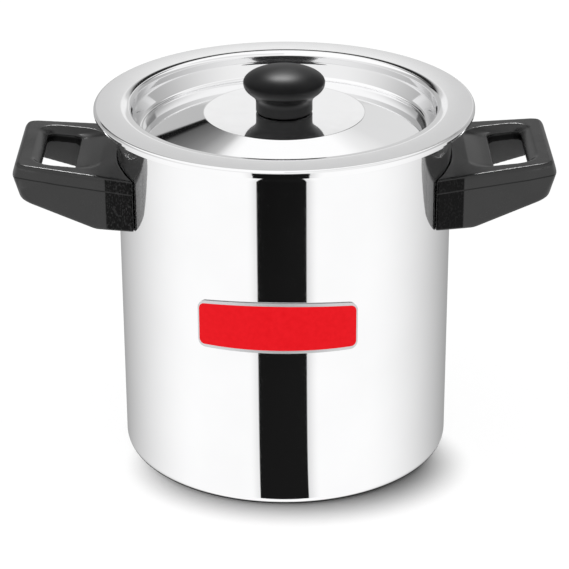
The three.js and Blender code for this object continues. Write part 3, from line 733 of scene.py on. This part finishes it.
# Inner hardware keeps its solids
hardware = {"knob_insert": brass, "knob_washer": rolled, "knob_screw": rolled}
for side in ("right", "left"):
    for part in ("bracket", "washer", "screw"):
        hardware[side + "_handle_" + part] = rolled
for name, material in hardware.items():
    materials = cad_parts[name].data.materials
    materials.clear()
    materials.append(material)


# Stage. White is a little over 1, because the steel takes a little from what it reflects
WHITE = 1.08
FLOOR_SIZE, FLOOR_Z, FLOOR_TONE, FLOOR_LIFT = 8, -0.0002, 0.2, 0.03
# Painted contact shadow: a dark ring round the pot's foot that only the steel sees
CONTACT_SHADOW_TONE, CONTACT_IN, CONTACT_OUT = 0.02, 1, 0.4


def floor_plane(material):
    bm = bmesh.new()
    bmesh.ops.create_grid(bm, x_segments=1, y_segments=1, size=0.5)
    bm.transform(Matrix.Translation((0, 0, FLOOR_Z)) @ Matrix.Diagonal((FLOOR_SIZE, FLOOR_SIZE, 1, 1)))
    piece = new_object("floor", bm)
    piece.data.materials.append(material)
    return piece


def floor_material():
    """White paper. The metal sees through it to the surroundings, but for a painted contact shadow, a dark
    ring under the pot's edge.
    """
    m = Nodes(bpy.data.materials.new("floor"), "ShaderNodeMixShader")
    ray = m.add("ShaderNodeLightPath")
    paper = m.add("ShaderNodeBsdfDiffuse")
    paper.inputs["Color"].default_value = (FLOOR_TONE, FLOOR_TONE, FLOOR_TONE, 1)
    lift = m.add("ShaderNodeEmission")
    m.join(m.math("MULTIPLY", ray.outputs["Is Camera Ray"], FLOOR_LIFT), lift.inputs["Strength"])
    both = m.add("ShaderNodeAddShader")
    m.join(paper.outputs[0], both.inputs[0])
    m.join(lift.outputs[0], both.inputs[1])
    place_on = m.add("ShaderNodeVectorMath", operation="LENGTH")
    m.join(m.add("ShaderNodeNewGeometry").outputs["Position"], place_on.inputs[0])
    # Painted shadow: dark to the steel close round the foot, clear further out
    seen = m.add("ShaderNodeMixShader")
    shade = m.add("ShaderNodeEmission", Strength=CONTACT_SHADOW_TONE)
    clear = m.step(place_on.outputs["Value"], (BODY_R - CONTACT_IN) * MM, (BODY_R + CONTACT_OUT) * MM)
    m.join(clear, seen.inputs[0])
    m.join(shade.outputs[0], seen.inputs[1])
    m.join(m.add("ShaderNodeBsdfTransparent").outputs[0], seen.inputs[2])
    m.join(ray.outputs["Is Glossy Ray"], m.shader.inputs[0])
    m.join(both.outputs[0], m.shader.inputs[1])
    m.join(seen.outputs[0], m.shader.inputs[2])
    m.owner.cycles.emission_sampling = "NONE"
    return m.owner


floor = floor_plane(floor_material())


def keep_hidden(piece, reflected):
    """Keeps a card out of the picture: it is either seen in the steel or casts a shadow."""
    piece.visible_camera = False
    piece.visible_diffuse = False
    piece.visible_transmission = False
    piece.visible_glossy = reflected
    piece.visible_shadow = not reflected


def flag_card():
    """A black card with grey sides on the floor before the pot, seen only as a stripe in the steel."""
    bm = bmesh.new()
    near_y, near_left, near_right = -74.8, -12.15, 11.24
    far_y, far_left, far_right = -1500, -503, 378.6
    sides, card_z = 1.6, 0.0001
    corners = [(near_left, near_y), (near_right, near_y), (far_right, far_y), (far_left, far_y)]
    bm.faces.new([bm.verts.new((sides * x * MM, y * MM, card_z)) for x, y in corners])
    piece = new_object("flag_card", bm)
    m = Nodes(bpy.data.materials.new("flag_card"), "ShaderNodeEmission")
    at = m.add("ShaderNodeSeparateXYZ")
    m.join(m.add("ShaderNodeNewGeometry").outputs["Position"], at.inputs[0])
    shares = []
    for near, far in ((near_left, far_left), (near_right, far_right)):
        slope = (far - near) / (far_y - near_y)
        edge = m.math("ADD", m.math("MULTIPLY", at.outputs["Y"], slope), (near - slope * near_y) * MM)
        shares.append(m.math("DIVIDE", at.outputs["X"], edge))
    left_grey = m.mix(m.step(shares[0], 0.9, 1.4), 0.8, 0.98)
    right_grey = m.mix(m.step(shares[1], 0.8, 1.6), 0.68, 0.98)
    grey = m.mix(m.math("GREATER_THAN", at.outputs["X"], 0), left_grey, right_grey)
    black = m.spread(m.noise(3, 2), 0.006, 0.011)
    tone = m.mix(m.step(m.math("MAXIMUM", *shares), 0.985, 1.015), black, m.math("MULTIPLY", grey, WHITE))
    m.join(tone, m.shader.inputs["Strength"])
    m.owner.cycles.emission_sampling = "NONE"
    piece.data.materials.append(m.owner)
    keep_hidden(piece, reflected=True)


flag_card()


def shadow_card():
    """A hidden oval card inside the pot, which lays the soft shadow on the floor in front of it."""
    centre, reach_x, reach_y, facets = Vector((5, -32, 100)), 64, 44, 96
    bm = bmesh.new()
    bmesh.ops.create_circle(bm, cap_ends=True, segments=facets, radius=MM)
    bm.transform(Matrix.Translation(centre * MM) @ Matrix.Diagonal((reach_x, reach_y, 1, 1)))
    piece = new_object("shadow_card", bm)
    piece.data.materials.append(knob_black)
    keep_hidden(piece, reflected=False)
    return piece


def studio():
    """White surroundings as the metal sees them: a backdrop behind the pot, with dark flags round it.

    Angles are in degrees: up from the horizon, and turned to the right from straight behind the pot."""
    world = bpy.data.worlds.new("studio")
    bpy.context.scene.world = world
    world.cycles.sampling_method = "NONE"
    m = Nodes(world, "ShaderNodeBackground", "ShaderNodeOutputWorld")
    way = m.add("ShaderNodeSeparateXYZ")
    m.join(m.add("ShaderNodeTexCoord").outputs["Generated"], way.inputs[0])
    up = m.math("DEGREES", m.math("ARCSINE", way.outputs["Z"]))
    turn = m.math("DEGREES", m.math("ARCTAN2", way.outputs["X"], way.outputs["Y"]))

    def tones(*stops):
        """Greys by the angle above the horizon."""
        return m.ramp(m.math("DIVIDE", up, 90), [(angle / 90, (tone, tone, tone)) for angle, tone in stops])

    def between(low, high, soft):
        """A mask of 1 from one turn to another, with soft sides."""
        after_low, after_high = m.step(turn, low - soft, low), m.step(turn, high, high + soft)
        return m.math("MULTIPLY", after_low, m.math("SUBTRACT", 1, after_high))

    beside = m.mix(m.step(m.math("ABSOLUTE", m.math("SUBTRACT", turn, 6)), 40, 145), 0.4, 0.86)
    above_right = tones((45, 0.95), (55, 0.78), (70, 0.78), (85, 1))
    above = m.mix(m.step(turn, 20, 50), 1.0, above_right)
    tone = m.mix(m.step(up, 30, 40), beside, above)
    flag = tones((23.2, 0.48), (24, 0.005), (27, 0.01), (28.5, 0.1), (34, 0.17), (38, 0.25), (42.5, 0.48),
                 (44.3, 0.86), (46, 1))
    tone = m.mix(between(-30, -9, 4), tone, flag)
    tone = m.mix(between(9, 32, 10), tone, tones((0, 0.7), (33, 0.73), (40, 0.85), (44, 1)))
    tone = m.mix(between(21, 38, 4), tone, tones((0, 0.5), (27, 0.5), (31, 0.22), (44, 0.22), (49, 1)))
    tone = m.mix(between(-8, 8, 2), tone, tones((0, 0.62), (22, 0.6), (24, 0.02), (29, 0.02), (31.5, 1)))
    # A flat pale spot low on the backdrop, three times as wide as it is high
    spot_up, flatness = 19.7, 3
    rise_off = m.math("MULTIPLY", m.math("SUBTRACT", up, spot_up), flatness)
    squares = m.math("ADD", m.math("MULTIPLY", turn, turn), m.math("MULTIPLY", rise_off, rise_off))
    tone = m.mix(m.step(m.math("SQRT", squares), 3, 5.2), 0.87, tone)
    # Below the horizon: white before the pot, grey behind it
    around = m.step(m.math("ABSOLUTE", m.math("SUBTRACT", turn, 4)), 0, 120)
    tone = m.mix(m.step(up, -1, 0), m.mix(around, 0.33, 0.98), tone)
    ray = m.add("ShaderNodeLightPath")
    seen = m.mix(ray.outputs["Is Camera Ray"], m.math("MULTIPLY", tone, WHITE), 1.0)
    m.shader.inputs["Color"].default_value = (1, 1, 1, 1)
    m.join(seen, m.shader.inputs["Strength"])


studio()


def lamp(name, kind, matrix, power):
    light = bpy.data.lights.new(name, kind)
    light.energy = power
    piece = bpy.data.objects.new(name, light)
    piece.matrix_world = matrix
    bpy.context.collection.objects.link(piece)
    return piece


def aimed(place_at, look_at):
    aim = Vector(look_at) - Vector(place_at)
    return Matrix.Translation(place_at) @ aim.to_track_quat("-Z", "Y").to_matrix().to_4x4()


def linked_to(name, *pieces):
    group = bpy.data.collections.new(name)
    for piece in pieces:
        group.objects.link(piece)
    return group


# A soft high lamp lays the shadow on the floor, and a softbox behind the pot lights the mouldings
HIGH_POWER, HIGH_SOFTNESS, REAR_POWER = 12.9, math.radians(13.5), 13
high = lamp("high", "SUN", aimed((0, 0.001, 1), (0, 0, 0)), HIGH_POWER)
high.data.angle = HIGH_SOFTNESS
high.light_linking.receiver_collection = linked_to("floor_lit", floor)
high.light_linking.blocker_collection = linked_to("floor_shaded_by", shadow_card())
rear = lamp("rear", "AREA", aimed((-0.02, 0.8, 1.06), (0, 0, 0.16)), REAR_POWER)
rear.data.shape = "RECTANGLE"
rear.data.size, rear.data.size_y = 0.3, 0.06
rear.light_linking.receiver_collection = linked_to("mouldings_lit", knob, handle, left_handle)

# The camera's place in metres, and its turn, downward tilt and roll in degrees
CAMERA_AT, CAMERA_TURN, CAMERA_DOWN, CAMERA_ROLL = (0, -0.89862, 0.48023), 0.0137, 24.513, -0.251
camera_data = bpy.data.cameras.new("camera")
camera_data.lens = 143.5
camera_data.sensor_width = 36
camera = bpy.data.objects.new("camera", camera_data)
turn = Matrix.Rotation(math.radians(CAMERA_TURN), 4, "Z")
tilt = Matrix.Rotation(math.radians(90 - CAMERA_DOWN), 4, "X")
roll = Matrix.Rotation(math.radians(CAMERA_ROLL), 4, "Z")
camera.matrix_world = Matrix.Translation(CAMERA_AT) @ turn @ tilt @ roll
bpy.context.collection.objects.link(camera)
bpy.context.scene.camera = camera
bpy.context.scene.view_settings.view_transform = "Standard"
